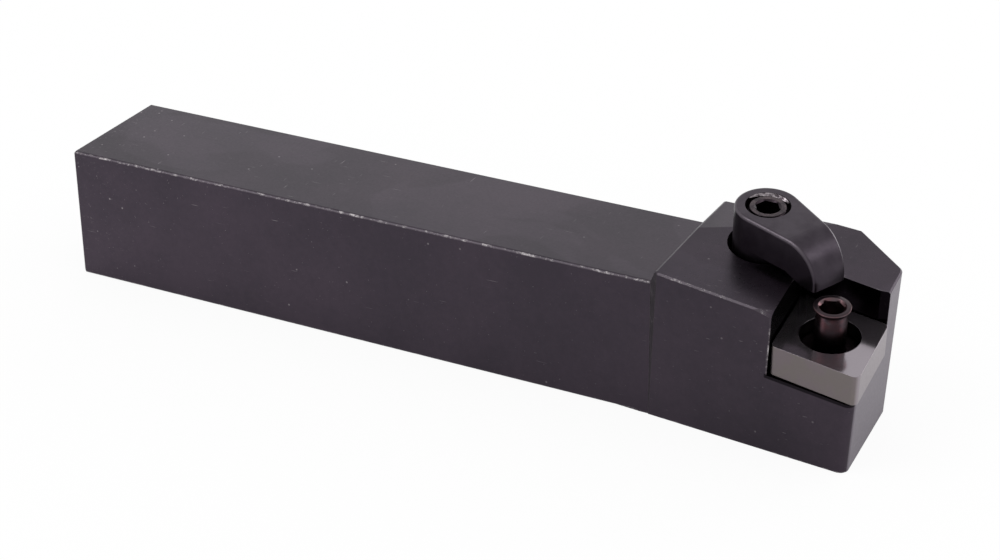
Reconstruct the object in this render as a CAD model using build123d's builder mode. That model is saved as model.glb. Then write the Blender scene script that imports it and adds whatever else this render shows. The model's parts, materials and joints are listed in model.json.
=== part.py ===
"""Left-hand turning tool holder with lock pin and top clamp, for 80 degree rhombic inserts.

X runs along the shank from its rear end to the cutting point, Z is up, and the origin is the
middle of the shank's rear end on its bottom face. The pocket, the pin, the clamp and its screw
all stand square to one tilted plane: the top face of the insert that the holder takes.
"""
import os
from math import cos, radians, sin, tan

from build123d import *

os.makedirs("parts", exist_ok=True)

# Shank
shank_width = 20.0
shank_height = 20.0
shank_edge = 0.5            # rounding of the long edges
rear_chamfer = 0.3

# Cutting point: where the corner of a fitted insert stands
tool_length = 125.0
tool_width = 25.0           # from the far side of the shank to the cutting point

# Insert that the pocket takes
insert_circle = 12.7        # inscribed circle
insert_thickness = 4.76
insert_corner = 80.0        # degrees
lead_angle = 6.5            # insert's side edge, from the shank's axis
fall_to_tip = 4.0           # tilt of the insert, down towards the end
fall_to_side = 7.0          # tilt of the insert, down towards the cutting side

# Head
head_height = 23.85
head_start = 93.6           # where the shank ends
ramp_angle = 27.0           # run-out at the top, from upright
side_runout = 45.0          # run-out at the side, from the shank's axis
heel_back = 1.9             # bottom corner, behind the cutting point
heel_in = 2.05              # bottom corner, inside the cutting point
side_flare = 5.5
side_relief = 3.5
end_angle = 4.3
end_relief = 4.3
heel_radius = 1.2
far_chamfer_start = 9.5     # from the cutting point back to the chamfer on the far side
far_chamfer_angle = 37.0
far_chamfer_radius = 1.5
top_below_insert = 0.1      # head's top facet, under the insert's top
corner_facet_back = 3.6     # small facet where top, side and pocket meet
corner_facet_turn = 22.0
corner_facet_fall = 22.0
head_edge = 0.25

# Pocket
pocket_gap = 0.12           # walls, from the insert's sides
pocket_relief = 1.0         # radius of the drilled inner corner
wall_end_length = 1.9       # far wall's end, where it turns away from the insert
wall_end_angle = 15.0

# Shim
shim_thickness = 4.76
shim_inset = 0.1            # sides, inside the insert's
shim_corner = 0.8
shim_chamfer = 0.3
shim_bore = 8.1
shim_hole = 6.4
shim_bore_depth = 3.1

# Lock pin
pin_top_gap = 0.1           # head, under the insert's top
pin_head = 5.0
pin_head_height = 1.2
pin_head_edge = 0.3
pin_neck = 4.1
pin_collar = 7.8
pin_collar_height = 1.2
pin_thread = 6.0
pin_length = 18.0
pin_socket = 3.0            # across flats
pin_socket_depth = 3.5
pin_socket_mouth = 3.7       # countersink across the socket

# Clamp screw
screw_thread = 6.0
screw_length = 25.0
screw_chamfer = 0.6
screw_below_clamp = 0.2
screw_waist = 4.9           # between the two threads
screw_waist_length = 3.0
screw_socket = 3.0          # across flats
screw_socket_depth = 3.0
thread_gap = 0.05           # radial

# Clamp
clamp_back = 14.2           # screw's axis, behind the pin's along the insert's side edge
clamp_across = 7.7          # screw's axis, beside the pin's
clamp_swing = -19.85        # finger, from the insert's side edge
clamp_height = 6.0          # top, above the head's top facet
clamp_boss = 8.9
clamp_boss_length = 3.4     # below the head's top facet
boss_gap = 0.65             # radial, in the counterbore
counterbore_depth = 4.0
clamp_reach = 12.65
clamp_taper = 8.35          # each side of the finger
clamp_nose_radius = 5.2
clamp_pad_gap = 0.05        # pad, above the insert's top
clamp_pad_length = 2.2
clamp_pad_slope = 2.8       # length of the slope from the arch down to the pad
clamp_arch = 1.2            # finger's underside, above the head's top facet
clamp_edge = 0.45
clamp_near_corner = 0.5
clamp_far_corner = 1.6

# Plane of the insert's top: origin at the cutting point, X along the insert's side edge
rake_normal = Vector(tan(radians(fall_to_tip)), -tan(radians(fall_to_side)), 1).normalized()
edge_x = cos(radians(lead_angle))
edge_y = -sin(radians(lead_angle))
edge_z = -(edge_x * rake_normal.X + edge_y * rake_normal.Y) / rake_normal.Z
tip = Vector(tool_length, shank_width / 2 - tool_width, shank_height)
rake = Plane(origin=tip, x_dir=Vector(edge_x, edge_y, edge_z), z_dir=rake_normal)

# A rhombus of this corner has these half sides for each millimetre of its inscribed circle
long_half = (1 + cos(radians(insert_corner))) / sin(radians(insert_corner)) / 2
short_half = (1 - cos(radians(insert_corner))) / sin(radians(insert_corner)) / 2
slant = 1 / tan(radians(insert_corner))

# Axes square to the insert: the pin's through its middle, the clamp's on the head's top facet
insert_middle = Pos(-long_half * insert_circle, insert_circle / 2, 0)
pin_axis = Plane(rake.location * insert_middle)
pin_side = Plane(pin_axis.location * Rot(90, 0, 0))
shim_top = pin_axis.offset(-insert_thickness)
seat = shim_top.offset(-shim_thickness)
clamp_place = Pos(-clamp_back, clamp_across, -top_below_insert) * Rot(0, 0, clamp_swing)
clamp_axis = Plane(pin_axis.location * clamp_place)
clamp_side = Plane(clamp_axis.location * Rot(90, 0, 0))


def rim(faces):
    """Edges round the outside of a patch of faces."""
    every = [edge for face in faces for edge in face.edges()]
    return [edge for edge in every if sum(edge.is_same(other) for other in every) == 1]


# Holder body: head milled by flat facets, then the shank, the pocket and the bores
heel = Vector(tip.X - heel_back, tip.Y + heel_in, 0)
far_side = shank_width / 2
ramp_reach = shank_height * tan(radians(ramp_angle))
stock = shank_width         # more than any facet takes off
runout = stock * tan(radians(side_runout))
chamfer_x = tip.X - far_chamfer_start
chamfer_reach = (far_chamfer_start + stock) * tan(radians(far_chamfer_angle))
side_normal = Vector(-tan(radians(side_flare)), -1, -tan(radians(side_relief)))
end_normal = Vector(1, tan(radians(end_angle)), -tan(radians(end_relief)))
ramp_normal = Vector(-cos(radians(ramp_angle)), 0, sin(radians(ramp_angle)))

facet_x = -insert_circle / sin(radians(insert_corner)) - corner_facet_back
corner_facet = (Pos(facet_x, 0, -top_below_insert) * Rot(0, 0, corner_facet_turn)
                * Rot(corner_facet_fall, 0, 0))

with BuildPart() as holder_body:
    with BuildSketch(Plane.XY):
        with BuildLine():
            Polyline(
                (head_start - ramp_reach, far_side),
                (head_start - ramp_reach, -far_side),
                (head_start, -far_side),
                (head_start + stock, -far_side - runout),
                (tip.X + stock, -far_side - runout),
                (tip.X + stock, far_side - chamfer_reach),
                (chamfer_x, far_side),
                close=True,
            )
        make_face()
    extrude(amount=head_height)
    split(bisect_by=Plane(origin=heel, z_dir=side_normal), keep=Keep.BOTTOM)
    split(bisect_by=Plane(origin=heel, z_dir=end_normal), keep=Keep.BOTTOM)
    split(bisect_by=Plane(origin=(head_start, 0, shank_height), z_dir=ramp_normal), keep=Keep.BOTTOM)
    split(bisect_by=rake.offset(-top_below_insert), keep=Keep.BOTTOM)
    split(bisect_by=Plane(rake.location * corner_facet), keep=Keep.BOTTOM)
    upright = holder_body.edges().filter_by(lambda e: abs((e @ 1 - e @ 0).Z) > shank_height / 2)
    fillet(upright.sort_by(Axis.X)[-1], heel_radius)
    fillet(upright.sort_by(Axis.X)[-2], far_chamfer_radius)
    tops = holder_body.faces().filter_by(lambda face: face.normal_at().Z > 0.8)
    chamfer(rim(tops), head_edge)

    # shank, with its long edges broken
    with BuildSketch(Plane.YZ):
        with Locations((0, shank_height / 2)):
            RectangleRounded(shank_width, shank_height, shank_edge)
    extrude(amount=head_start)
    chamfer(holder_body.faces().sort_by(Axis.X)[0].edges(), rear_chamfer)

    # pocket for shim and insert: two walls, a drilled corner, open at the side and the end
    pocket_circle = insert_circle + 2 * pocket_gap
    wall_turn = short_half * pocket_circle - wall_end_length
    with BuildSketch(seat):
        with BuildLine():
            Polyline(
                (-short_half * pocket_circle + stock * slant, -pocket_circle / 2 - stock),
                (-long_half * pocket_circle, pocket_circle / 2),
                (wall_turn, pocket_circle / 2),
                (wall_turn + stock, pocket_circle / 2 + stock * tan(radians(wall_end_angle))),
                (wall_turn + stock, -pocket_circle / 2 - stock),
                close=True,
            )
        make_face()
        with Locations((-long_half * pocket_circle, pocket_circle / 2)):
            Circle(pocket_relief)
    extrude(amount=stock, mode=Mode.SUBTRACT)

    # threaded bores for pin and clamp screw, right through, and the clamp's counterbore
    with BuildSketch(seat):
        Circle(pin_thread / 2 + thread_gap)
    extrude(amount=-stock, mode=Mode.SUBTRACT)
    with BuildSketch(clamp_axis):
        Circle(clamp_boss / 2 + boss_gap)
    extrude(amount=counterbore_depth, both=True, mode=Mode.SUBTRACT)
    with BuildSketch(clamp_axis):
        Circle(screw_thread / 2 + thread_gap)
    extrude(amount=-2 * stock, mode=Mode.SUBTRACT)
holder_body.part.label = "holder_body"
export_step(holder_body.part, "parts/holder_body.step")

# Shim: carbide plate, the insert's outline a little smaller, held by the pin's collar
shim_circle = insert_circle - 2 * shim_inset
bore_step = (shim_bore - shim_hole) / 2

with BuildPart() as shim:
    with BuildSketch(seat):
        with BuildLine():
            Polyline(
                (long_half * shim_circle, -shim_circle / 2),
                (-short_half * shim_circle, -shim_circle / 2),
                (-long_half * shim_circle, shim_circle / 2),
                (short_half * shim_circle, shim_circle / 2),
                close=True,
            )
        make_face()
    extrude(amount=shim_thickness)
    sides = shim.edges().filter_by(lambda e: abs((e @ 1 - e @ 0).dot(rake_normal)) > shim_thickness / 2)
    fillet(sides, shim_corner)
    chamfer(shim.faces().sort_by(Axis(seat.origin, seat.z_dir))[0].edges(), shim_chamfer)
    with BuildSketch(pin_side):
        with BuildLine():
            Polyline(
                (0, -insert_thickness),
                (shim_bore / 2, -insert_thickness),
                (shim_bore / 2, -insert_thickness - shim_bore_depth),
                (shim_hole / 2, -insert_thickness - shim_bore_depth - bore_step),
                (shim_hole / 2, -insert_thickness - shim_thickness),
                (0, -insert_thickness - shim_thickness),
                close=True,
            )
        make_face()
    revolve(axis=Axis(pin_axis.origin, pin_axis.z_dir), mode=Mode.SUBTRACT)
shim.part.label = "shim"
export_step(shim.part, "parts/shim.step")

# Lock pin: head for the insert's hole, neck, collar on the shim's cone, thread in the body
pin_top = -pin_top_gap
head_bottom = pin_top - pin_head_height
neck_top = head_bottom - (pin_head - pin_neck) / 2
cone_top = -insert_thickness - shim_bore_depth - (shim_bore - pin_collar) / 2
cone_bottom = cone_top - (pin_collar - pin_thread) / 2
pin_bottom = pin_top - pin_length

with BuildPart() as lock_pin:
    with BuildSketch(pin_side):
        with BuildLine():
            Polyline(
                (0, pin_top),
                (pin_head / 2 - pin_head_edge, pin_top),
                (pin_head / 2, pin_top - pin_head_edge),
                (pin_head / 2, head_bottom),
                (pin_neck / 2, neck_top),
                (pin_neck / 2, cone_top + pin_collar_height),
                (pin_collar / 2, cone_top + pin_collar_height),
                (pin_collar / 2, cone_top),
                (pin_thread / 2, cone_bottom),
                (pin_thread / 2, pin_bottom + pin_head_edge),
                (pin_thread / 2 - pin_head_edge, pin_bottom),
                (0, pin_bottom),
                close=True,
            )
        make_face()
    revolve(axis=Axis(pin_axis.origin, pin_axis.z_dir))
    with BuildSketch(pin_axis.offset(pin_top)):
        RegularPolygon(pin_socket / 2, 6, major_radius=False)
    extrude(amount=-pin_socket_depth, mode=Mode.SUBTRACT)
    with BuildSketch(pin_axis.offset(pin_top)):
        Circle(pin_socket_mouth / 2)
    extrude(amount=-pin_socket_mouth / 4, taper=45, mode=Mode.SUBTRACT)
lock_pin.part.label = "lock_pin"
export_step(lock_pin.part, "parts/lock_pin.step")

# Clamp screw: stud with a thread and a hex socket at each end
screw_top = clamp_height - screw_below_clamp
screw_bottom = screw_top - screw_length
waist_middle = (screw_top + screw_bottom) / 2

with BuildPart() as clamp_screw:
    with BuildSketch(clamp_axis.offset(screw_bottom)):
        Circle(screw_thread / 2)
    extrude(amount=screw_length)
    chamfer(clamp_screw.edges(), screw_chamfer)
    with BuildSketch(clamp_axis.offset(waist_middle)):
        Circle(screw_thread)
        Circle(screw_waist / 2, mode=Mode.SUBTRACT)
    extrude(amount=screw_waist_length / 2, both=True, mode=Mode.SUBTRACT)
    with BuildSketch(clamp_axis.offset(screw_top)):
        RegularPolygon(screw_socket / 2, 6, major_radius=False)
    extrude(amount=-screw_socket_depth, mode=Mode.SUBTRACT)
    with BuildSketch(clamp_axis.offset(screw_bottom)):
        RegularPolygon(screw_socket / 2, 6, major_radius=False)
    extrude(amount=screw_socket_depth, mode=Mode.SUBTRACT)
clamp_screw.part.label = "clamp_screw"
export_step(clamp_screw.part, "parts/clamp_screw.step")

# Clamp: finger cut from the side to its arch and rounded nose, then its boss and bore
boss_radius = clamp_boss / 2
pad_level = top_below_insert + clamp_pad_gap
arch_start = clamp_reach - clamp_pad_length - clamp_pad_slope
nose_start = clamp_reach - clamp_nose_radius
nose_half = (boss_radius - clamp_reach * sin(radians(clamp_taper))) / cos(radians(clamp_taper))
tangent_x = boss_radius * sin(radians(clamp_taper))
tangent_y = boss_radius * cos(radians(clamp_taper))

with BuildPart() as clamp:
    with BuildSketch(clamp_axis):
        with BuildLine():
            Polyline(
                (tangent_x, -tangent_y),
                (clamp_reach, -nose_half),
                (clamp_reach, nose_half),
                (tangent_x, tangent_y),
                close=True,
            )
        finger = make_face()
        near, far = finger.vertices().sort_by(Axis.X)[-2:].sort_by(Axis.Y)
        fillet(near, clamp_near_corner)
        fillet(far, clamp_far_corner)
        Circle(boss_radius)
    extrude(amount=clamp_height)
    with BuildSketch(clamp_side):
        with BuildLine():
            Line((-boss_radius, clamp_arch), (-boss_radius, clamp_height))
            Line((-boss_radius, clamp_height), (nose_start, clamp_height))
            RadiusArc((nose_start, clamp_height), (clamp_reach, clamp_height - clamp_nose_radius),
                      clamp_nose_radius)
            Line((clamp_reach, clamp_height - clamp_nose_radius), (clamp_reach, pad_level))
            Line((clamp_reach, pad_level), (clamp_reach - clamp_pad_length, pad_level))
            Line((clamp_reach - clamp_pad_length, pad_level), (arch_start, clamp_arch))
            Line((arch_start, clamp_arch), (-boss_radius, clamp_arch))
        make_face()
    extrude(amount=clamp_boss, both=True, mode=Mode.INTERSECT)
    curved = clamp.faces().filter_by(GeomType.CYLINDER)
    nose = curved.filter_by(lambda f: abs(f.axis_of_rotation.direction.dot(rake_normal)) < 0.5)
    top = clamp.faces().sort_by(Axis(clamp_axis.origin, clamp_axis.z_dir))[-1]
    upper = [e for e in rim([top] + nose) if clamp_axis.to_local_coords(e.center()).Z > clamp_arch]
    fillet(upper, clamp_edge)
    with BuildSketch(clamp_axis.offset(-clamp_boss_length)):
        Circle(boss_radius)
    extrude(amount=clamp_boss_length + clamp_arch)
    with BuildSketch(clamp_axis.offset(-clamp_boss_length)):
        Circle(screw_thread / 2 + thread_gap)
    extrude(amount=clamp_boss_length + clamp_height, mode=Mode.SUBTRACT)
clamp.part.label = "clamp"
export_step(clamp.part, "parts/clamp.step")
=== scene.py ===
import json
import math

import bmesh
import bpy
from mathutils import Matrix, Vector


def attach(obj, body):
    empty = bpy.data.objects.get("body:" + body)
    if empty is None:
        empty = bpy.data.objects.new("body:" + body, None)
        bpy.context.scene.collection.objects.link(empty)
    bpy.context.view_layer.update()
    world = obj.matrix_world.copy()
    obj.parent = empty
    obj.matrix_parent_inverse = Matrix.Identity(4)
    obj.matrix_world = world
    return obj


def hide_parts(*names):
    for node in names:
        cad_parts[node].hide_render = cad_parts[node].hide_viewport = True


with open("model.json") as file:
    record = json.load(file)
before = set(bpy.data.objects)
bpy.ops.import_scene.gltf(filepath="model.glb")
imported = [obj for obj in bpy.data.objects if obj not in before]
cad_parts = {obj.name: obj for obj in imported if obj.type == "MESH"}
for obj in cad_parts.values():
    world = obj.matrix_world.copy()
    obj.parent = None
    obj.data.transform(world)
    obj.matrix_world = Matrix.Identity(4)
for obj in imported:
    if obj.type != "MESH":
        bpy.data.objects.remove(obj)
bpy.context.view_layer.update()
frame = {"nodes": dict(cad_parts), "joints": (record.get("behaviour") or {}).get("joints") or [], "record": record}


# Holder body: shank and head milled from one bar of alloy steel, hardened, the shank ground,
# then all of it blackened in a hot salt bath. The black skin is a few micrometres thick, so
# handling wears it through along the edges and every knock leaves a bright fleck.
MM = 0.001
nodes = frame["nodes"]
pin_mount = next(m for m in frame["record"]["mounts"] if m["name"] == "insert_pin")
rake_normal = Vector(pin_mount["axis"])        # the seat, the pin and the clamp stand square to it
# places in the head, in millimetres
tool_length = 125
head_start = 93
pocket_start = 110
pocket_end = 118
pocket_middle = (118, -9, 21)
counterbore_mouth = (105, 1.5, 23)
seam_bottom = 20.3                             # heights of the shim's lower seam, along rake_normal
seam_top = 21.0


def linear(code):
    """An sRGB hex colour as the linear colour the shader wants."""
    parts = [int(code[i:i + 2], 16) / 255 for i in (1, 3, 5)]
    return [c / 12.92 if c <= 0.04045 else ((c + 0.055) / 1.055) ** 2.4 for c in parts] + [1]


def add(tree, kind, settings=None, **inputs):
    """Adds one node. An input is named by its words joined with _, or i0, i1 for its number."""
    made = tree.nodes.new(kind)
    for key, value in (settings or {}).items():
        setattr(made, key, value)
    for key, value in inputs.items():
        if key[0] == "i" and key[1:].isdigit():
            socket = made.inputs[int(key[1:])]
        else:
            socket = made.inputs[key.replace("_", " ")]
        if isinstance(value, bpy.types.NodeSocket):
            tree.links.new(value, socket)
        else:
            socket.default_value = value
    return made


def finish(name):
    """A new material's empty tree, with the surface's place in millimetres."""
    material = bpy.data.materials.new(name)
    material.use_nodes = True
    tree = material.node_tree
    tree.nodes.clear()
    place = add(tree, "ShaderNodeTexCoord").outputs["Object"]
    scaled = add(tree, "ShaderNodeVectorMath", {"operation": "SCALE"}, i0=place, Scale=1 / MM)
    return material, tree, scaled.outputs[0]


def dress(piece, material):
    """Puts one material on a whole piece."""
    piece.data.materials.clear()
    piece.data.materials.append(material)


# Black oxide: a thin violet-black satin skin over steel. Cloudy where the bath took unevenly,
# with a fine dead grain, and dried oil marks where it drained.
oxide, tree, mm = finish("black_oxide_on_milled_steel")
where = add(tree, "ShaderNodeSeparateXYZ", i0=mm)
facing = add(tree, "ShaderNodeNewGeometry")
face_up = add(tree, "ShaderNodeSeparateXYZ", i0=facing.outputs["Normal"])
cloud = add(tree, "ShaderNodeTexNoise", Vector=mm, Scale=0.07, Detail=3, Roughness=0.55)
blotch = add(tree, "ShaderNodeTexNoise", Vector=mm, Scale=0.9, Detail=4, Roughness=0.7)
clouded = add(tree, "ShaderNodeMix", i0=0.35, i2=cloud.outputs[0], i3=blotch.outputs[0])
tone = add(tree, "ShaderNodeMapRange", Value=clouded.outputs[0], i1=0.38, i2=0.62)
coat = add(tree, "ShaderNodeMix", {"data_type": "RGBA"}, i0=tone.outputs[0],
           i6=linear("#3F3941"), i7=linear("#473F48"))
# painted light: the colour is paler towards the rear end and darker at the head, standing in for the brighter
# light at the rear
rear_light_painted = add(tree, "ShaderNodeMapRange", Value=where.outputs[0], i1=0, i2=tool_length,
              i3=1.14, i4=0.84)
coat = add(tree, "ShaderNodeVectorMath", {"operation": "SCALE"}, i0=coat.outputs[2],
           Scale=rear_light_painted.outputs[0])
# dried oil: dark patches 20 to 30 mm across on the level faces, and one that lay longest near
# the rear corner
oil_patch = (6, -13, 20)
puddle = add(tree, "ShaderNodeTexNoise", Vector=mm, Scale=0.04, Detail=2, Distortion=1.2)
wet = add(tree, "ShaderNodeMapRange", {"interpolation_type": "SMOOTHSTEP"},
          Value=puddle.outputs[0], i1=0.47, i2=0.53, i3=1.04, i4=0.9)
level = add(tree, "ShaderNodeMapRange", Value=face_up.outputs[2], i1=0.7, i2=0.95)
held = add(tree, "ShaderNodeVectorMath", {"operation": "DISTANCE"}, i0=mm, i1=oil_patch)
held = add(tree, "ShaderNodeMath", {"operation": "MULTIPLY_ADD"}, i0=puddle.outputs[0], i1=-7.0,
           i2=held.outputs["Value"])
held = add(tree, "ShaderNodeMapRange", Value=held.outputs[0], i1=7.2, i2=8.4, i3=0.86, i4=1.0)
wet = add(tree, "ShaderNodeMath", {"operation": "MULTIPLY"}, i0=wet.outputs[0],
          i1=held.outputs[0])
patch = add(tree, "ShaderNodeMix", i0=level.outputs[0], i2=1.0, i3=wet.outputs[0])
coat = add(tree, "ShaderNodeVectorMath", {"operation": "SCALE"}, i0=coat.outputs[0],
           Scale=patch.outputs[0])

# painted shade: the pocket's walls are darkened, standing in for the shade inside the pocket
walls = None
for axis, sign, reach in ((0, 1, 113), (1, -1, 2.5)):    # the walls that face +X and -Y
    turned = add(tree, "ShaderNodeMath", {"operation": "MULTIPLY"}, i0=face_up.outputs[axis],
                 i1=sign)
    turned = add(tree, "ShaderNodeMapRange", Value=turned.outputs[0], i1=0.9, i2=0.95)
    near = add(tree, "ShaderNodeMath", {"operation": "MULTIPLY"}, i0=where.outputs[axis],
               i1=sign)
    near = add(tree, "ShaderNodeMapRange", Value=near.outputs[0], i1=reach + 0.5, i2=reach)
    wall = add(tree, "ShaderNodeMath", {"operation": "MULTIPLY"}, i0=turned.outputs[0],
               i1=near.outputs[0])
    walls = wall if walls is None else add(tree, "ShaderNodeMath", {"operation": "MAXIMUM"},
                                           i0=walls.outputs[0], i1=wall.outputs[0])
in_pocket = add(tree, "ShaderNodeMapRange", Value=where.outputs[0], i1=pocket_start,
                i2=pocket_start + 0.5)
walls = add(tree, "ShaderNodeMath", {"operation": "MULTIPLY"}, i0=walls.outputs[0],
            i1=in_pocket.outputs[0])
# painted shadow: a black line 0.4 mm wide in the seam under the shim, on the cutting side
seat = add(tree, "ShaderNodeVectorMath", {"operation": "DOT_PRODUCT"}, i0=mm, i1=rake_normal)
below = add(tree, "ShaderNodeMapRange", Value=seat.outputs["Value"], i1=seam_bottom,
            i2=seam_bottom + 0.1)
above = add(tree, "ShaderNodeMapRange", Value=seat.outputs["Value"], i1=seam_top,
            i2=seam_top - 0.1)
front = add(tree, "ShaderNodeMapRange", Value=where.outputs[1], i1=-11.5, i2=-12.0)
seam_shadow = add(tree, "ShaderNodeMath", {"operation": "MULTIPLY"}, i0=below.outputs[0],
           i1=above.outputs[0])
seam_shadow = add(tree, "ShaderNodeMath", {"operation": "MULTIPLY"}, i0=seam_shadow.outputs[0],
           i1=front.outputs[0])
past_corner = add(tree, "ShaderNodeMapRange", Value=where.outputs[0], i1=pocket_start + 1,
                  i2=pocket_start + 1.2)
seam_shadow = add(tree, "ShaderNodeMath", {"operation": "MULTIPLY"}, i0=seam_shadow.outputs[0],
           i1=past_corner.outputs[0])
# painted shade: the pocket's walls and the seam under the shim are darkened to a quarter
painted_shade = add(tree, "ShaderNodeMath", {"operation": "MAXIMUM"}, i0=walls.outputs[0],
              i1=seam_shadow.outputs[0])
shade_darkening = add(tree, "ShaderNodeMapRange", Value=painted_shade.outputs[0], i3=1.0, i4=0.24)
coat = add(tree, "ShaderNodeVectorMath", {"operation": "SCALE"}, i0=coat.outputs[0],
           Scale=shade_darkening.outputs[0])

# worn edges: the long roundings and the head's chamfers face half sideways and half up, and
# at the others rays sent inward find the next face within half a millimetre
sideways = add(tree, "ShaderNodeMath", {"operation": "MULTIPLY"}, i0=face_up.outputs[1],
               i1=face_up.outputs[2])
sideways = add(tree, "ShaderNodeMath", {"operation": "ABSOLUTE"}, i0=sideways.outputs[0])
slanted = add(tree, "ShaderNodeMapRange", Value=sideways.outputs[0], i1=0.3, i2=0.46)
near_edge = add(tree, "ShaderNodeAmbientOcclusion",
                {"inside": True, "only_local": True, "samples": 8}, Distance=0.5 * MM)
sharp = add(tree, "ShaderNodeMapRange", Value=near_edge.outputs["AO"], i1=0.7, i2=0.55)
edge = add(tree, "ShaderNodeMath", {"operation": "MAXIMUM"}, i0=slanted.outputs[0],
           i1=sharp.outputs[0])
upright = add(tree, "ShaderNodeMath", {"operation": "MULTIPLY"}, i0=face_up.outputs[0],
              i1=face_up.outputs[1])
upright = add(tree, "ShaderNodeMapRange", Value=upright.outputs[0], i1=0.3, i2=0.45, i4=0.3)
# only on the cutting side: the big chamfer on the far side is as slanted, and it isn't worn
near_side = add(tree, "ShaderNodeMapRange", Value=face_up.outputs[1], i1=0.0, i2=-0.2)
upright = add(tree, "ShaderNodeMath", {"operation": "MULTIPLY"}, i0=upright.outputs[0],
              i1=near_side.outputs[0])
edge = add(tree, "ShaderNodeMath", {"operation": "MAXIMUM"}, i0=edge.outputs[0],
           i1=upright.outputs[0])
knocks = add(tree, "ShaderNodeTexNoise", Vector=mm, Scale=0.3, Detail=8, Roughness=0.9)
knocked = add(tree, "ShaderNodeMapRange", Value=knocks.outputs[0], i1=0.51, i2=0.64, i3=0.05)
# the pocket is guarded by its insert, so its edges keep their skin
pocket = add(tree, "ShaderNodeVectorMath", {"operation": "DISTANCE"}, i0=mm, i1=pocket_middle)
guarded = add(tree, "ShaderNodeMapRange", Value=pocket.outputs["Value"], i1=7.0, i2=8.5)
# and so does the clamp's counterbore
bored = add(tree, "ShaderNodeVectorMath", {"operation": "DISTANCE"}, i0=mm,
            i1=counterbore_mouth)
bored = add(tree, "ShaderNodeMapRange", Value=bored.outputs["Value"], i1=6.0, i2=7.0)
guarded = add(tree, "ShaderNodeMath", {"operation": "MULTIPLY"}, i0=guarded.outputs[0],
              i1=bored.outputs[0])
outside_shade = add(tree, "ShaderNodeMath", {"operation": "SUBTRACT"}, i0=1.0, i1=painted_shade.outputs[0])
guarded = add(tree, "ShaderNodeMath", {"operation": "MULTIPLY"}, i0=guarded.outputs[0],
              i1=outside_shade.outputs[0])
worn = add(tree, "ShaderNodeMath", {"operation": "MULTIPLY"}, i0=edge.outputs[0],
           i1=knocked.outputs[0])
worn = add(tree, "ShaderNodeMath", {"operation": "MULTIPLY"}, i0=worn.outputs[0],
           i1=guarded.outputs[0])
# scratches: 3 to 6 mm long and 0.15 mm wide, along the bar and across it
cuts = None
for turn, stretch, least in ((0.0, (0.25, 5.5, 5.5), 0.75), (0.45, (4.5, 0.3, 4.5), 0.76)):
    laid = add(tree, "ShaderNodeMapping", Vector=mm, Rotation=(0, turn, turn), Scale=stretch)
    strand = add(tree, "ShaderNodeTexNoise", Vector=laid.outputs[0], Scale=1.0, Detail=1)
    cut = add(tree, "ShaderNodeMapRange", Value=strand.outputs[0], i1=least, i2=least + 0.05)
    cuts = cut if cuts is None else add(tree, "ShaderNodeMath", {"operation": "MAXIMUM"},
                                        i0=cuts.outputs[0], i1=cut.outputs[0])
# flecks: knocks about 0.3 mm across, in cells of 1.7 mm, most of them filled at the rear end
pits = add(tree, "ShaderNodeTexVoronoi", Vector=mm, Scale=0.6)
chance = add(tree, "ShaderNodeSeparateColor", Color=pits.outputs["Color"])
share = add(tree, "ShaderNodeMapRange", Value=where.outputs[0], i1=0, i2=16, i3=0.3, i4=0.92)
lucky = add(tree, "ShaderNodeMath", {"operation": "GREATER_THAN"}, i0=chance.outputs[0],
            i1=share.outputs[0])
fleck = add(tree, "ShaderNodeMapRange", Value=pits.outputs["Distance"], i1=0.11, i2=0.06)
fleck = add(tree, "ShaderNodeMath", {"operation": "MULTIPLY"}, i0=fleck.outputs[0],
            i1=lucky.outputs[0])
marks = add(tree, "ShaderNodeMath", {"operation": "MAXIMUM"}, i0=cuts.outputs[0],
            i1=fleck.outputs[0])
# the rear end stood in a bin among others: a rash of tiny knocks over its last 12 mm
rash = add(tree, "ShaderNodeTexNoise", Vector=mm, Scale=1.5, Detail=5, Roughness=0.85)
rash = add(tree, "ShaderNodeMapRange", Value=rash.outputs[0], i1=0.6, i2=0.68)
rear = add(tree, "ShaderNodeMapRange", Value=where.outputs[0], i1=13, i2=0, i4=0.8)
rash = add(tree, "ShaderNodeMath", {"operation": "MULTIPLY"}, i0=rash.outputs[0],
           i1=rear.outputs[0])
marks = add(tree, "ShaderNodeMath", {"operation": "MAXIMUM"}, i0=marks.outputs[0],
            i1=rash.outputs[0])
# all of them are shallow, and shallowest towards the head
depth = add(tree, "ShaderNodeMapRange", Value=where.outputs[0], i1=0, i2=90, i3=0.34, i4=0.12)
marks = add(tree, "ShaderNodeMath", {"operation": "MULTIPLY"}, i0=marks.outputs[0],
            i1=depth.outputs[0])
bare = add(tree, "ShaderNodeMath", {"operation": "MAXIMUM", "use_clamp": True},
           i0=worn.outputs[0], i1=marks.outputs[0])
# the run-out beside the head is lightened a little towards bare steel
runout_lightening = add(tree, "ShaderNodeMapRange", Value=upright.outputs[0], i2=0.3, i4=0.07)
bare = add(tree, "ShaderNodeMath", {"operation": "MAXIMUM"}, i0=bare.outputs[0],
           i1=runout_lightening.outputs[0])
colour = add(tree, "ShaderNodeMix", {"data_type": "RGBA"}, i0=bare.outputs[0],
             i6=coat.outputs[0], i7=linear("#CFC9CB"))
# the end face was milled last and coarsest; its paler colour is painted light, for the bright
# light it reflects
at_end = add(tree, "ShaderNodeMapRange", Value=face_up.outputs[0], i1=0.9, i2=0.97)
past_pocket = add(tree, "ShaderNodeMapRange", Value=where.outputs[0], i1=pocket_end,
                  i2=pocket_end + 1)
at_end = add(tree, "ShaderNodeMath", {"operation": "MULTIPLY"}, i0=at_end.outputs[0],
             i1=past_pocket.outputs[0])
colour = add(tree, "ShaderNodeMix", {"data_type": "RGBA"}, i0=at_end.outputs[0],
             i6=colour.outputs[2], i7=linear("#78717A"))

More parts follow.
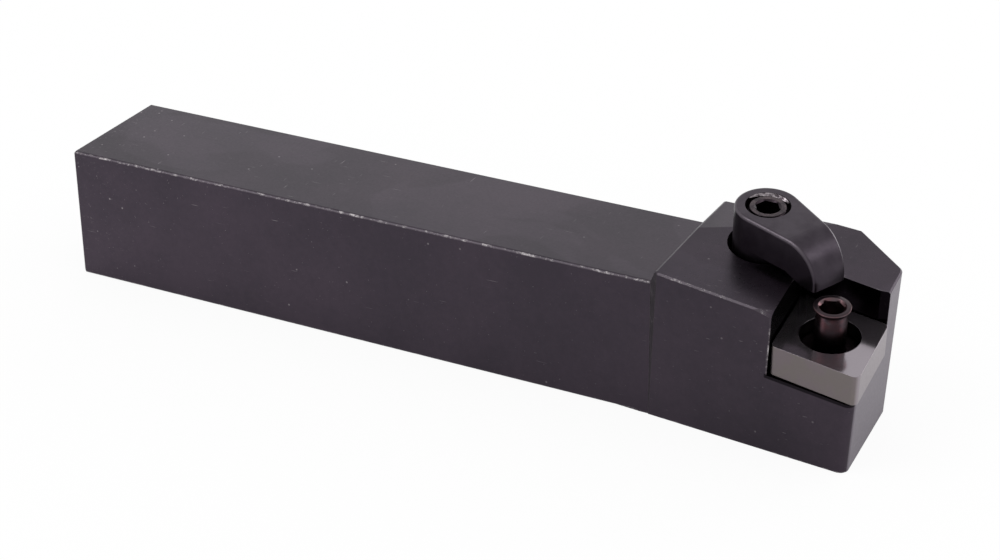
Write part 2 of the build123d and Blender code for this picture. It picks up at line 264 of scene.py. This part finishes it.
# the head's top is left as milled, smoother than the ground shank
on_head = add(tree, "ShaderNodeMapRange", Value=where.outputs[0], i1=head_start,
              i2=head_start + 5)
milled = add(tree, "ShaderNodeMath", {"operation": "MULTIPLY"}, i0=on_head.outputs[0],
             i1=level.outputs[0])
grain = add(tree, "ShaderNodeTexNoise", Vector=mm, Scale=2.4, Detail=3, Roughness=0.7)
dull = add(tree, "ShaderNodeMapRange", Value=grain.outputs[0], i1=0.3, i2=0.7, i3=0.36, i4=0.44)
rough = add(tree, "ShaderNodeMath", {"operation": "MULTIPLY_ADD"}, i0=milled.outputs[0],
            i1=-0.1, i2=dull.outputs[0])
rough = add(tree, "ShaderNodeMath", {"operation": "MULTIPLY_ADD"}, i0=at_end.outputs[0],
            i1=0.04, i2=rough.outputs[0])
# the pocket's walls are ground to a fine finish
rough = add(tree, "ShaderNodeMix", i0=walls.outputs[0], i2=rough.outputs[0], i3=0.2)
# grinding lay along the bar, lines about 0.15 mm apart
lay = add(tree, "ShaderNodeMapping", Vector=mm, Scale=(0.12, 6.5, 6.5))
ground = add(tree, "ShaderNodeTexNoise", Vector=lay.outputs[0], Scale=1.0, Detail=2)
texture = add(tree, "ShaderNodeMix", i0=0.5, i2=grain.outputs[0], i3=ground.outputs[0])
soft = add(tree, "ShaderNodeBevel", {"samples": 6}, Radius=0.12 * MM)
bump = add(tree, "ShaderNodeBump", Strength=0.2, Distance=0.012 * MM, Height=texture.outputs[0],
           Normal=soft.outputs[0])
bump = add(tree, "ShaderNodeBump", {"invert": True}, Strength=0.5, Distance=0.03 * MM,
           Height=bare.outputs[0], Normal=bump.outputs[0])
steel = add(tree, "ShaderNodeBsdfPrincipled", Base_Color=colour.outputs[2], Metallic=1.0,
            Roughness=rough.outputs[0], Normal=bump.outputs[0])
add(tree, "ShaderNodeOutputMaterial", Surface=steel.outputs[0])
dress(nodes["holder_body"], oxide)


# Shim: a seat plate of cemented carbide that takes the wear under the insert, sintered, ground
# on its sides and lapped on its top, and left bare. The lock pin holds it down.
shim_middle = (117.9, -7.2, 16.0)              # on the pin's axis, in millimetres

# Cemented carbide: a hard grey, mirror-like where it is lapped, matt and faintly stained where
# a coarse wheel ground it.
carbide, tree, mm = finish("ground_cemented_carbide")
facing = add(tree, "ShaderNodeNewGeometry")
lapped = add(tree, "ShaderNodeVectorMath", {"operation": "DOT_PRODUCT"},
             i0=facing.outputs["Normal"], i1=rake_normal)
lapped = add(tree, "ShaderNodeMapRange", Value=lapped.outputs["Value"], i1=0.97, i2=0.995)
stain = add(tree, "ShaderNodeTexNoise", Vector=mm, Scale=0.32, Detail=3, Roughness=0.6)
stained = add(tree, "ShaderNodeMapRange", Value=stain.outputs[0], i1=0.42, i2=0.58)
sides = add(tree, "ShaderNodeMix", {"data_type": "RGBA"}, i0=stained.outputs[0],
            i6=linear("#746B6E"), i7=linear("#736C6B"))
# painted light: the faces towards the end get a paler grey, for the brighter light on them
sideways = add(tree, "ShaderNodeSeparateXYZ", i0=facing.outputs["Normal"])
at_end = add(tree, "ShaderNodeMapRange", Value=sideways.outputs[0], i1=0.5, i2=0.9)
sides = add(tree, "ShaderNodeMix", {"data_type": "RGBA"}, i0=at_end.outputs[0],
            i6=sides.outputs[2], i7=linear("#968E93"))
colour = add(tree, "ShaderNodeMix", {"data_type": "RGBA"}, i0=lapped.outputs[0],
             i6=sides.outputs[2], i7=linear("#8F888E"))
# painted shade: the bore is painted near black, for the shade inside it
from_bore = add(tree, "ShaderNodeVectorMath", {"operation": "DISTANCE"}, i0=mm,
                i1=shim_middle)
from_bore = add(tree, "ShaderNodeMapRange", Value=from_bore.outputs["Value"], i1=5.4, i2=5.6)
from_bore = add(tree, "ShaderNodeMath", {"operation": "MAXIMUM"}, i0=from_bore.outputs[0],
                i1=lapped.outputs[0])
colour = add(tree, "ShaderNodeMix", {"data_type": "RGBA"}, i0=from_bore.outputs[0],
             i6=linear("#1A1517"), i7=colour.outputs[2])
grit = add(tree, "ShaderNodeTexNoise", Vector=mm, Scale=3.0, Detail=3, Roughness=0.75)
dull = add(tree, "ShaderNodeMapRange", Value=grit.outputs[0], i1=0.3, i2=0.7, i3=0.34, i4=0.44)
rough = add(tree, "ShaderNodeMix", i0=lapped.outputs[0], i2=dull.outputs[0], i3=0.13)
# wheel marks along the sides, about 0.12 mm apart
lay = add(tree, "ShaderNodeMapping", Vector=mm, Scale=(0.4, 0.4, 8.0))
wheel = add(tree, "ShaderNodeTexNoise", Vector=lay.outputs[0], Scale=1.0, Detail=2)
honed = add(tree, "ShaderNodeBevel", {"samples": 6}, Radius=0.1 * MM)
depth = add(tree, "ShaderNodeMapRange", Value=lapped.outputs[0], i1=0, i2=1, i3=0.3, i4=0.0)
bump = add(tree, "ShaderNodeBump", Strength=depth.outputs[0], Distance=0.01 * MM,
           Height=wheel.outputs[0], Normal=honed.outputs[0])
# lapping leaves a faint haze over the mirror
haze = add(tree, "ShaderNodeMapRange", Value=lapped.outputs[0], i3=1.0, i4=0.93)
steel = add(tree, "ShaderNodeBsdfPrincipled", Base_Color=colour.outputs[2],
            Metallic=haze.outputs[0], Roughness=rough.outputs[0], Normal=bump.outputs[0])
add(tree, "ShaderNodeOutputMaterial", Surface=steel.outputs[0])
dress(nodes["shim"], carbide)


# Lock pin: turned from tool steel and hardened. Its head stands in the insert's hole, its
# collar holds the shim down, and a hex key turns it by the socket in its head.
insert_top = Vector(pin_mount["pos_m"]) + rake_normal * 0.85 * MM   # the pin's heights start here
lead_turn = math.radians(-6.5)                 # the insert's side edge, from the shank's axis


def stand(foot, axis, turn):
    """The place of a piece turned about an axis, with X at that angle from the shank's."""
    across = Vector((math.cos(turn), math.sin(turn), 0))
    across = (across - axis * across.dot(axis)).normalized()
    return (Matrix.Translation(foot)
            @ Matrix((across, axis.cross(across), axis)).transposed().to_4x4())


def draw_out(mesh, loop, shape):
    """Extrudes a loop of edges once and puts its new points where shape says."""
    new = bmesh.ops.extrude_edge_only(mesh, edges=loop)["geom"]
    for vert in [g for g in new if isinstance(g, bmesh.types.BMVert)]:
        vert.co = shape(vert.co)
    return [g for g in new if isinstance(g, bmesh.types.BMEdge)]


def ring(radius, height):
    """Puts a point on a circle of that radius, at that height."""
    return lambda co: Vector((co.x, co.y, 0)).normalized() * radius + Vector((0, 0, height))


def hexagon(half, height):
    """Puts a point on a hexagon of that half width, at that height."""
    def put(co):
        turn = (math.atan2(co.y, co.x) + math.pi / 6) % (math.pi / 3) - math.pi / 6
        return ring(half / math.cos(turn), height)(co)
    return put


def smooth(mesh, most):
    """Smooth faces, with a crease where two of them meet at more than that many degrees."""
    for face in mesh.faces:
        face.smooth = True
    for e in mesh.edges:
        e.smooth = not e.is_manifold or e.calc_face_angle(0) < math.radians(most)


def piece(name, mesh, place):
    """Makes a piece from a mesh worked on about its own axis, put in its place."""
    mesh.transform(place)
    data = bpy.data.meshes.new(name)
    mesh.to_mesh(data)
    mesh.free()
    made = bpy.data.objects.new(name, data)
    bpy.context.scene.collection.objects.link(made)
    return made


# outside of the pin from its top down: radius and height, in millimetres
pin_steps = ((2.46, -0.13), (2.48, -0.19), (2.46, -0.3), (2.36, -0.45), (2.24, -0.65),
             (2.16, -0.9), (2.12, -1.3), (2.12, -6.7), (2.2, -6.81), (3.8, -6.81),
             (3.9, -6.91), (3.9, -8.01), (3.0, -8.91), (3.0, -17.8), (2.7, -18.1))
pin_top = -0.1 * MM
pin_face = 2.4 * MM                            # outer radius of the flat ring on its head
pin_mouth = 1.86 * MM
socket_half = 1.5 * MM
key_depth = 3.5 * MM
drill_tip = 0.2 * MM                           # radius where the socket's drilled cone ends
mesh = bmesh.new()
bmesh.ops.create_circle(mesh, segments=48, radius=pin_face,
                        matrix=Matrix.Translation((0, 0, pin_top)))
head_edge = mesh.edges[:]
loop = head_edge
for radius, height in pin_steps:
    loop = draw_out(mesh, loop, ring(radius * MM, height * MM))
bmesh.ops.edgeloop_fill(mesh, edges=loop)
loop = draw_out(mesh, head_edge, ring(pin_mouth, pin_top))
loop = draw_out(mesh, loop, ring(pin_mouth - 0.1 * MM, pin_top - 0.1 * MM))
loop = draw_out(mesh, loop, hexagon(socket_half, pin_top - 0.3 * MM))
loop = draw_out(mesh, loop, hexagon(socket_half, pin_top - key_depth))
loop = draw_out(mesh, loop, ring(drill_tip, pin_top - key_depth - 0.6 * MM))
bmesh.ops.edgeloop_fill(mesh, edges=loop)
bmesh.ops.recalc_face_normals(mesh, faces=mesh.faces)
smooth(mesh, 28)
pin = piece("turned_lock_pin", mesh, stand(insert_top, rake_normal, lead_turn))

# Tempered steel: drawn back after hardening, which leaves a brown skin, going to purple, that
# the turning's own rings show through. Below the shim's top it is darkened, a painted shade
# for the shadow in the shim's bore.
temper, tree, mm = finish("tempered_tool_steel")
patch = add(tree, "ShaderNodeTexNoise", Vector=mm, Scale=0.5, Detail=3, Roughness=0.6)
patched = add(tree, "ShaderNodeMapRange", Value=patch.outputs[0], i1=0.4, i2=0.6)
colour = add(tree, "ShaderNodeMix", {"data_type": "RGBA"}, i0=patched.outputs[0],
             i6=linear("#664B4E"), i7=linear("#584D51"))
from_top = add(tree, "ShaderNodeVectorMath", {"operation": "SUBTRACT"}, i0=mm,
               i1=insert_top / MM)
height = add(tree, "ShaderNodeVectorMath", {"operation": "DOT_PRODUCT"}, i0=from_top.outputs[0],
             i1=rake_normal)
bore_shade = add(tree, "ShaderNodeMapRange", {"interpolation_type": "SMOOTHSTEP"},
            Value=height.outputs["Value"], i1=-5.4, i2=-3.0, i3=0.1, i4=1.0)
colour = add(tree, "ShaderNodeVectorMath", {"operation": "SCALE"}, i0=colour.outputs[2],
             Scale=bore_shade.outputs[0])
facing = add(tree, "ShaderNodeNewGeometry")
ended = add(tree, "ShaderNodeVectorMath", {"operation": "DOT_PRODUCT"},
            i0=facing.outputs["Normal"], i1=rake_normal)
flat = add(tree, "ShaderNodeMapRange", Value=ended.outputs["Value"], i1=0.9, i2=0.98)
colour = add(tree, "ShaderNodeMix", {"data_type": "RGBA"}, i0=flat.outputs[0],
             i6=colour.outputs[0], i7=linear("#41373B"))
soft = add(tree, "ShaderNodeBevel", {"samples": 6}, Radius=0.08 * MM)
# turning rings 0.12 mm apart, square to the pin
rings = add(tree, "ShaderNodeTexNoise", {"noise_dimensions": "1D"}, W=height.outputs["Value"],
            Scale=8.0, Detail=2)
bump = add(tree, "ShaderNodeBump", Strength=0.25, Distance=0.01 * MM, Height=rings.outputs[0],
           Normal=soft.outputs[0])
steel = add(tree, "ShaderNodeBsdfPrincipled", Base_Color=colour.outputs[2], Metallic=1.0,
            Roughness=0.27, Normal=bump.outputs[0])
add(tree, "ShaderNodeOutputMaterial", Surface=steel.outputs[0])
dress(pin, temper)
dress(nodes["lock_pin"], temper)
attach(pin, "holder")
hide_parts("lock_pin")


# Clamp screw: a stud of hardened steel with M6 threads rolled at both ends, right hand above
# and left hand below, so that one turn of the key in its socket moves the clamp two pitches.
screw_joint = next(joint for joint in frame["joints"] if joint["name"] == "clamp_swing")
screw_axis = Vector(screw_joint["axis"])
facet_point = Vector(screw_joint["pos_m"])     # where the axis meets the head's top facet
finger_turn = math.radians(-26.35)             # the clamp's finger, from the shank's axis
screw_place = stand(facet_point, screw_axis, finger_turn)
pitch = 1.0 * MM
crest = 3.0 * MM
root = crest - 0.5413 * pitch
screw_top = 5.8 * MM
screw_length = 25.0 * MM
screw_chamfer = 0.6 * MM
thread_end = screw_top - 11.0 * MM             # where the waist begins
waist_middle = screw_top - screw_length / 2
waist = 2.45 * MM
socket_mouth = 1.8 * MM
socket_depth = 3.0 * MM


def free_loop(mesh, height):
    """The open edges of a mesh at one height."""
    return [e for e in mesh.edges if e.is_boundary
            and all(abs(v.co.z - height) < 0.01 * MM for v in e.verts)]


turns = 13
steps = 48
mesh = bmesh.new()
profile = ((root, 0), (root, 0.125), (crest, 0.4375), (crest, 0.5625), (root, 0.875), (root, 1))
points = [mesh.verts.new((r, 0, thread_end - pitch + z * pitch)) for r, z in profile]
flanks = [mesh.edges.new(pair) for pair in zip(points, points[1:])]
bmesh.ops.subdivide_edges(mesh, edges=[flanks[1], flanks[3]], cuts=2)
bmesh.ops.spin(mesh, geom=mesh.verts[:] + mesh.edges[:], cent=(0, 0, 0), axis=(0, 0, 1),
               dvec=(0, 0, pitch / steps), angle=turns * math.tau, steps=turns * steps)
bmesh.ops.remove_doubles(mesh, verts=mesh.verts, dist=0.002 * MM)
for height, up in ((screw_top, 1), (thread_end, -1)):
    bmesh.ops.bisect_plane(mesh, geom=mesh.verts[:] + mesh.edges[:] + mesh.faces[:],
                           dist=0.001 * MM, plane_co=(0, 0, height), plane_no=(0, 0, up),
                           clear_outer=True)
for vert in mesh.verts:
    from_end = min(screw_top - vert.co.z, vert.co.z - thread_end)
    most = crest - max(0, screw_chamfer - from_end)
    far = math.hypot(vert.co.x, vert.co.y)
    if far > most:
        vert.co.x *= most / far
        vert.co.y *= most / far
loop = draw_out(mesh, free_loop(mesh, thread_end), ring(waist, thread_end - 0.05 * MM))
loop = draw_out(mesh, loop, ring(waist, waist_middle))
loop = draw_out(mesh, free_loop(mesh, screw_top), ring(socket_mouth, screw_top))
loop = draw_out(mesh, loop, hexagon(socket_half, screw_top - 0.2 * MM))
loop = draw_out(mesh, loop, hexagon(socket_half, screw_top - socket_depth))
loop = draw_out(mesh, loop, ring(drill_tip, screw_top - socket_depth - 0.5 * MM))
bmesh.ops.edgeloop_fill(mesh, edges=loop)
bmesh.ops.mirror(mesh, geom=mesh.verts[:] + mesh.edges[:] + mesh.faces[:],
                 matrix=Matrix.Translation((0, 0, -waist_middle)), merge_dist=0.002 * MM,
                 axis="Z")
bmesh.ops.remove_doubles(mesh, verts=mesh.verts, dist=0.002 * MM)
bmesh.ops.recalc_face_normals(mesh, faces=mesh.faces)
smooth(mesh, 28)
screw = piece("threaded_clamp_screw", mesh, screw_place)

# Oiled black oxide on rolled steel, smoother than the body's. Its thread and chamfer are darker,
# a painted shade for the bore around them; the flat ring that the key turns in is rubbed brown
# and nearly bare.
rolled, tree, mm = finish("oiled_black_oxide_on_rolled_thread")
soft = add(tree, "ShaderNodeBevel", {"samples": 6}, Radius=0.08 * MM)
facing = add(tree, "ShaderNodeNewGeometry")
ended = add(tree, "ShaderNodeVectorMath", {"operation": "DOT_PRODUCT"},
            i0=facing.outputs["Normal"], i1=screw_axis)
flat = add(tree, "ShaderNodeMapRange", Value=ended.outputs["Value"], i1=0.9, i2=0.98)
rub = add(tree, "ShaderNodeTexNoise", Vector=mm, Scale=0.9, Detail=4, Roughness=0.7)
rubbed = add(tree, "ShaderNodeMapRange", Value=rub.outputs[0], i1=0.42, i2=0.62)
worn = add(tree, "ShaderNodeMix", {"data_type": "RGBA"}, i0=rubbed.outputs[0],
           i6=linear("#363034"), i7=linear("#544A4D"))
# painted shade: every face but the flat ring gets the darker colour
colour = add(tree, "ShaderNodeMix", {"data_type": "RGBA"}, i0=flat.outputs[0],
             i6=linear("#332C31"), i7=worn.outputs[2])
bump = add(tree, "ShaderNodeBump", Strength=0.4, Distance=0.03 * MM, Height=rub.outputs[0],
           Normal=soft.outputs[0])
steel = add(tree, "ShaderNodeBsdfPrincipled", Base_Color=colour.outputs[2], Metallic=1.0,
            Roughness=0.25, Normal=bump.outputs[0])
add(tree, "ShaderNodeOutputMaterial", Surface=steel.outputs[0])
dress(screw, rolled)
dress(nodes["clamp_screw"], rolled)
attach(screw, "screw")
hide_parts("clamp_screw")


# Clamp: a finger drop-forged from alloy steel, hardened and blackened, with a boss that sits
# in the head's counterbore. Its edges are rounded by tumbling before the bath.

# Black oxide on forged steel: the same dark skin over a surface that tumbling left smooth and
# very slightly wavy. It has no grinding lay, and its long edges are not bare but carry a painted highlight.
forged, tree, mm = finish("black_oxide_on_forged_steel")
cloud = add(tree, "ShaderNodeTexNoise", Vector=mm, Scale=0.35, Detail=4, Roughness=0.6)
tone = add(tree, "ShaderNodeMapRange", Value=cloud.outputs[0], i1=0.35, i2=0.65)
colour = add(tree, "ShaderNodeMix", {"data_type": "RGBA"}, i0=tone.outputs[0],
             i6=linear("#3C363D"), i7=linear("#464047"))
# painted highlight: the long edges' rounding, which faces half sideways and half up, is lightened
facing = add(tree, "ShaderNodeNewGeometry")
across = screw_place.to_3x3().col[1]
up = add(tree, "ShaderNodeVectorMath", {"operation": "DOT_PRODUCT"},
         i0=facing.outputs["Normal"], i1=screw_axis)
side = add(tree, "ShaderNodeVectorMath", {"operation": "DOT_PRODUCT"},
           i0=facing.outputs["Normal"], i1=across)
slant = add(tree, "ShaderNodeMath", {"operation": "MULTIPLY"}, i0=up.outputs["Value"],
            i1=side.outputs["Value"])
slant = add(tree, "ShaderNodeMath", {"operation": "ABSOLUTE"}, i0=slant.outputs[0])
edge_highlight = add(tree, "ShaderNodeMapRange", Value=slant.outputs[0], i1=0.15, i2=0.45, i4=0.35)
colour = add(tree, "ShaderNodeMix", {"data_type": "RGBA"}, i0=edge_highlight.outputs[0],
             i6=colour.outputs[2], i7=linear("#7C757C"))
wave = add(tree, "ShaderNodeTexNoise", Vector=mm, Scale=0.55, Detail=3, Roughness=0.55)
grain = add(tree, "ShaderNodeTexNoise", Vector=mm, Scale=3.5, Detail=3, Roughness=0.7)
rough = add(tree, "ShaderNodeMapRange", Value=grain.outputs[0], i1=0.3, i2=0.7, i3=0.28, i4=0.38)
bump = add(tree, "ShaderNodeBump", Strength=0.35, Distance=0.06 * MM, Height=wave.outputs[0])
bump = add(tree, "ShaderNodeBump", Strength=0.15, Distance=0.01 * MM, Height=grain.outputs[0],
           Normal=bump.outputs[0])
steel = add(tree, "ShaderNodeBsdfPrincipled", Base_Color=colour.outputs[2], Metallic=1.0,
            Roughness=rough.outputs[0], Normal=bump.outputs[0])
add(tree, "ShaderNodeOutputMaterial", Surface=steel.outputs[0])
dress(nodes["clamp"], forged)

# Mouth of the clamp's thread: the tap's last third of a turn, which swells out of the bore on
# the far side and dies away. It clears the screw's chamfer, so the two can turn on each other.
clamp_top = 6.0 * MM
bore = 3.08 * MM
mouth_crest = 2.52 * MM
mouth_steps = 24
mouth_gap = 0.08 * MM
mouth_start = math.radians(118) - finger_turn - math.tau / 5
mesh = bmesh.new()
ridge = ((bore, -0.34), (mouth_crest, -0.05), (mouth_crest, 0.05), (bore, 0.34))
points = [mesh.verts.new((r, 0, clamp_top - (0.5 - z) * pitch)) for r, z in ridge]
mesh.faces.new(points)
bmesh.ops.spin(mesh, geom=mesh.faces[:] + mesh.edges[:] + mesh.verts[:], cent=(0, 0, 0),
               axis=(0, 0, 1), dvec=(0, 0, pitch / 3 / mouth_steps), angle=math.tau / 3,
               steps=mouth_steps)
for vert in mesh.verts:
    swell = math.sin(math.pi * (math.atan2(vert.co.y, vert.co.x) % math.tau) / (math.tau / 3))
    far = math.hypot(vert.co.x, vert.co.y)
    clear = crest + mouth_gap - max(0, vert.co.z - (screw_top - screw_chamfer))
    new_far = max(bore - (bore - far) * max(swell, 0.05) ** 0.5, min(clear, bore))
    vert.co.x *= new_far / far
    vert.co.y *= new_far / far
    vert.co.z = min(vert.co.z, clamp_top - 0.02 * MM)
bmesh.ops.rotate(mesh, cent=(0, 0, 0), matrix=Matrix.Rotation(mouth_start, 3, "Z"),
                 verts=mesh.verts)
bmesh.ops.recalc_face_normals(mesh, faces=mesh.faces)
smooth(mesh, 28)
mouth = piece("clamp_thread_mouth", mesh, screw_place)

# Freshly tapped steel: the tap cut through the skin, so its ridges stay bright, with torn
# flanks that glint here and there.
tapped, tree, mm = finish("bright_tapped_thread")
torn = add(tree, "ShaderNodeTexNoise", Vector=mm, Scale=1.6, Detail=4, Roughness=0.75)
bright = add(tree, "ShaderNodeMapRange", Value=torn.outputs[0], i1=0.42, i2=0.62)
colour = add(tree, "ShaderNodeMix", {"data_type": "RGBA"}, i0=bright.outputs[0],
             i6=linear("#40393E"), i7=linear("#B0A8AC"))
bump = add(tree, "ShaderNodeBump", Strength=0.6, Distance=0.08 * MM, Height=torn.outputs[0])
steel = add(tree, "ShaderNodeBsdfPrincipled", Base_Color=colour.outputs[2], Metallic=1.0,
            Roughness=0.22, Normal=bump.outputs[0])
add(tree, "ShaderNodeOutputMaterial", Surface=steel.outputs[0])
dress(mouth, tapped)
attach(mouth, "clamp")


# Studio: a white paper floor under an even white sky, with four soft boxes. The one low behind
# the head lights its end face, and the one behind at the left shows in the shim's top.
paper_reach = 3.0                              # metres, each way
mesh = bmesh.new()
bmesh.ops.create_grid(mesh, x_segments=1, y_segments=1, size=paper_reach)
floor = piece("studio_floor", mesh, Matrix.Identity(4))
paper = bpy.data.materials.new("white_studio_paper")
paper.use_nodes = True
tree = paper.node_tree
tree.nodes.clear()
path = add(tree, "ShaderNodeLightPath")
seen = add(tree, "ShaderNodeMath", {"operation": "MULTIPLY"}, i0=path.outputs["Is Camera Ray"],
           i1=0.92)
seen = add(tree, "ShaderNodeMath", {"operation": "MULTIPLY_ADD"},
           i0=path.outputs["Is Glossy Ray"], i1=0.2, i2=seen.outputs[0])
matt = add(tree, "ShaderNodeBsdfDiffuse", Color=(0.9, 0.9, 0.9, 1))
glow = add(tree, "ShaderNodeEmission", Color=(1, 1, 1, 1), Strength=1.0)
both = add(tree, "ShaderNodeMixShader", i0=seen.outputs[0], i1=matt.outputs[0], i2=glow.outputs[0])
add(tree, "ShaderNodeOutputMaterial", Surface=both.outputs[0])
dress(floor, paper)

world = bpy.data.worlds.new("studio_sky")
bpy.context.scene.world = world
world.use_nodes = True
tree = world.node_tree
tree.nodes.clear()
path = add(tree, "ShaderNodeLightPath")
bright = add(tree, "ShaderNodeMapRange", Value=path.outputs["Is Camera Ray"], i3=0.82, i4=1.0)
air = add(tree, "ShaderNodeBackground", Color=(1, 1, 1, 1), Strength=bright.outputs[0])
add(tree, "ShaderNodeOutputWorld", Surface=air.outputs[0])

# each box: its bearing and height in degrees, its side and distance in metres, its radiance
middle = Vector((0.105, 0, 0.012))
for name, azimuth, height, size, away, radiance in (
        ("box_front_left", 226, 50, 0.45, 0.9, 2.5), ("box_right", 10, 45, 0.4, 0.9, 1.5),
        ("box_behind_low", 66, 12, 0.6, 0.9, 2.5), ("box_behind_left", 118, 32, 0.6, 0.9, 0.3)):
    lamp = bpy.data.lights.new(name, "AREA")
    lamp.shape = "SQUARE"
    lamp.size = size
    lamp.energy = radiance * math.pi * size * size
    box = bpy.data.objects.new(name, lamp)
    bpy.context.scene.collection.objects.link(box)
    a, e = math.radians(azimuth), math.radians(height)
    out = Vector((math.cos(e) * math.cos(a), math.cos(e) * math.sin(a), math.sin(e)))
    box.matrix_world = (Matrix.Translation(middle + out * away)
                        @ out.to_track_quat("Z", "Y").to_matrix().to_4x4())

# a long lens, a third of a metre from the head, above it and in front of the cutting side
camera_data = bpy.data.cameras.new("camera")
camera_data.sensor_width = 36
camera_data.lens = 90.607
camera_data.clip_start = 0.01
camera = bpy.data.objects.new("camera", camera_data)
bpy.context.scene.collection.objects.link(camera)
right = Vector((0.88398397, 0.46740799, -0.01010484))
up = Vector((-0.2051635, 0.40725507, 0.88997261))
back = Vector((0.42009556, -0.78464838, 0.45590201))
turn = Matrix((right, up, back)).transposed().to_4x4()
camera.matrix_world = Matrix.Translation(Vector((0.2153325, -0.2792909, 0.1715639))) @ turn
bpy.context.scene.camera = camera
bpy.context.scene.view_settings.view_transform = "Standard"
